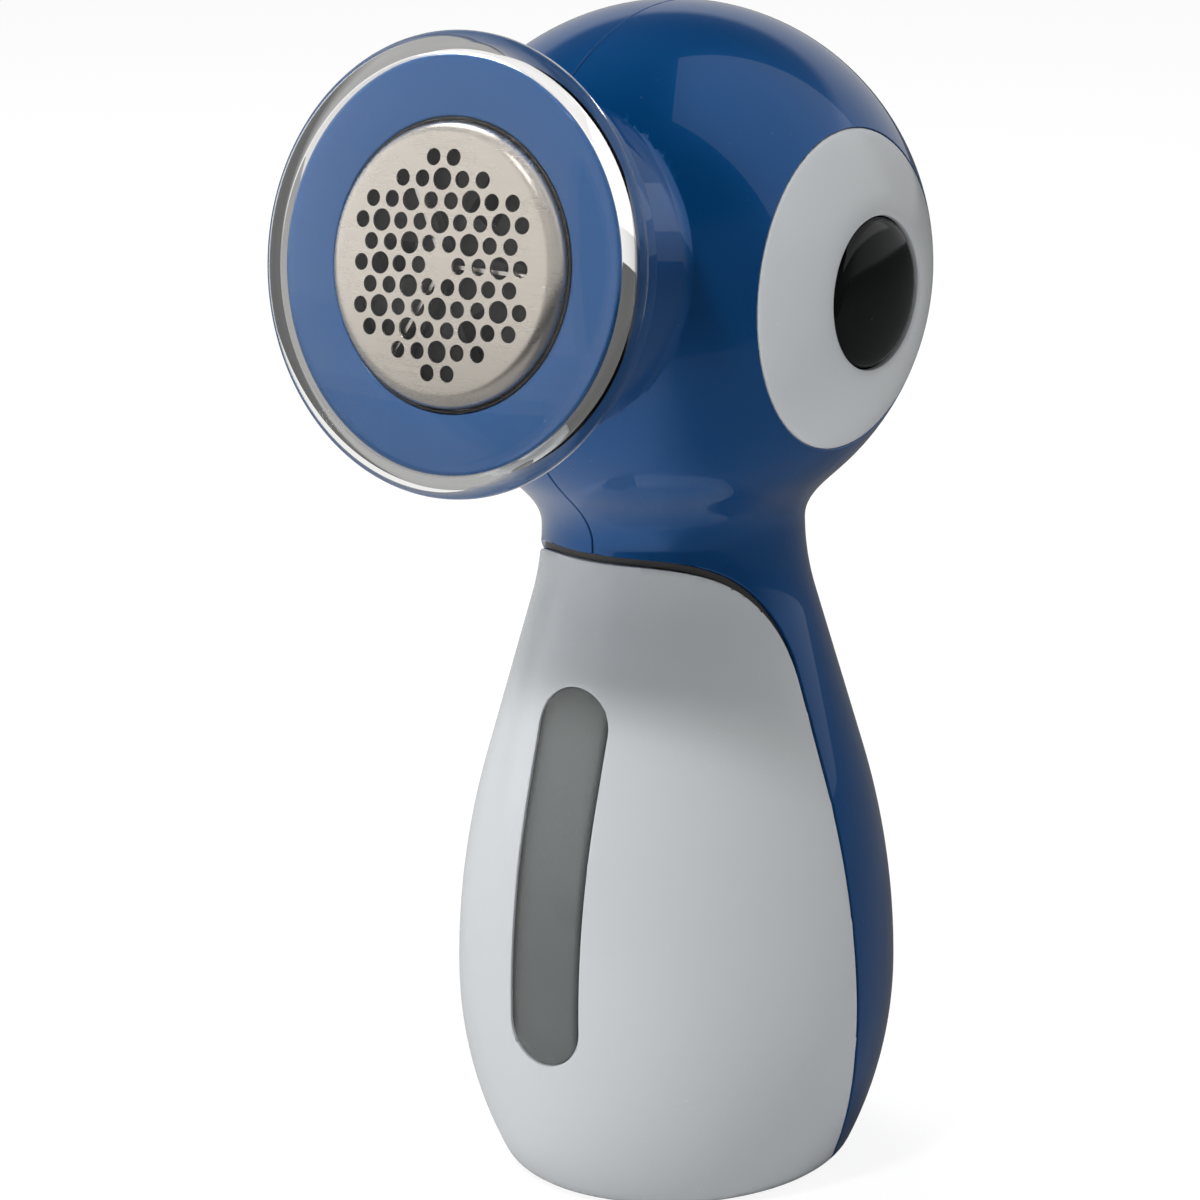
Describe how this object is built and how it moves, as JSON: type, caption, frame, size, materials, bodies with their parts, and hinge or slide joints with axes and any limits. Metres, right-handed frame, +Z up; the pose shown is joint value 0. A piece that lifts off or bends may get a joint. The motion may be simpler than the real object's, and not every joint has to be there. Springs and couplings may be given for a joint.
{
  "type": "battery fabric shaver",
  "caption": "Upright hand-held fabric shaver: round head with a perforated foil under a clear cap, side push button, and a pull-off lint container with a slot window.",
  "frame": {"origin": "centre of the flat base that the shaver stands on", "axes": "+Z up along the body, -Y towards the shaving head, +X towards the power button"},
  "size_m": [0.0674, 0.0913, 0.1627],
  "materials": {
    "blue_case": "glossy royal blue",
    "white_plastic": "glossy pale grey white",
    "black_gloss": "glossy black",
    "black_plastic": "matt black",
    "grey_plastic": "matt dark grey",
    "window_clear": "clear, slightly smoky",
    "cap_clear": "clear acrylic",
    "foil_steel": "satin stainless",
    "blade_steel": "ground steel",
    "spring_steel": "bright wire",
    "screw_steel": "zinc plated",
    "nickel_plate": "nickel plate",
    "brass_tab": "bare brass",
    "board_green": "lacquered board",
    "cell_jacket": "plain dark jacket"
  },
  "bodies": {
    "handle": {"housing_right": "blue_case", "housing_left": "blue_case", "case_screws": "screw_steel", "ring_right": "white_plastic", "ring_left": "white_plastic", "blank_cap": "black_gloss", "switch_body": "black_plastic", "switch_board": "board_green", "bulkhead": "grey_plastic", "battery_tray": "black_plastic", "battery_cells": "cell_jacket", "contact_plates": "nickel_plate", "contact_springs": "spring_steel", "cutter_chamber": "grey_plastic", "lint_duct": "grey_plastic", "motor_can": "nickel_plate", "motor_end_cap": "black_plastic", "motor_terminals": "brass_tab", "motor_mount": "grey_plastic", "motor_screws": "screw_steel"},
    "button": {"power_button": "black_gloss", "button_spring": "spring_steel"},
    "plunger": {"switch_plunger": "white_plastic"},
    "container": {"lint_container": "white_plastic", "container_window": "window_clear"},
    "battery_cover": {"battery_door": "blue_case"},
    "foil_head": {"foil_ring": "blue_case", "foil_gasket": "black_plastic", "foil": "foil_steel"},
    "cap": {"protective_cap": "cap_clear"},
    "rotor": {"drive_hub": "white_plastic", "motor_shaft": "blade_steel", "motor_armature": "blade_steel"},
    "cutter": {"blade_carrier": "black_plastic", "cutter_blades": "blade_steel", "carrier_spring": "spring_steel"}
  },
  "joints": [
    {"name": "button_press", "type": "slide", "parent": "handle", "child": "button", "axis": [-1, 0, 0], "range_m": [0, 0.0015], "stiffness_N_per_m": 800, "deforming": ["button_spring"]},
    {"name": "plunger_press", "type": "slide", "parent": "handle", "child": "plunger", "axis": [-1, 0, 0], "range_m": [0, 0.0015]},
    {"name": "container_pull", "type": "slide", "parent": "handle", "child": "container", "axis": [0, -1, 0], "range_m": [0, 0.05]},
    {"name": "battery_door_pull", "type": "slide", "parent": "handle", "child": "battery_cover", "axis": [0, 1, 0], "range_m": [0, 0.04]},
    {"name": "foil_ring_turn", "type": "hinge", "parent": "handle", "child": "foil_head", "pos_m": [0, 0, 0.1256], "axis": [0, -0.9854, 0.1702], "range_deg": [0, 30]},
    {"name": "cap_pull", "type": "slide", "parent": "foil_head", "child": "cap", "axis": [0, -0.9854, 0.1702], "range_m": [0, 0.03]},
    {"name": "cutter_spin", "type": "hinge", "parent": "handle", "child": "rotor", "pos_m": [0, 0, 0.1256], "axis": [0, -0.9854, 0.1702], "continuous": true},
    {"name": "cutter_float", "type": "slide", "parent": "rotor", "child": "cutter", "axis": [0, 0.9854, -0.1702], "range_m": [0, 0.0008], "stiffness_N_per_m": 400, "deforming": ["carrier_spring"]}
  ],
  "couplings": [
    {"joint": "plunger_press", "follows": "button_press", "ratio": 1}
  ]
}
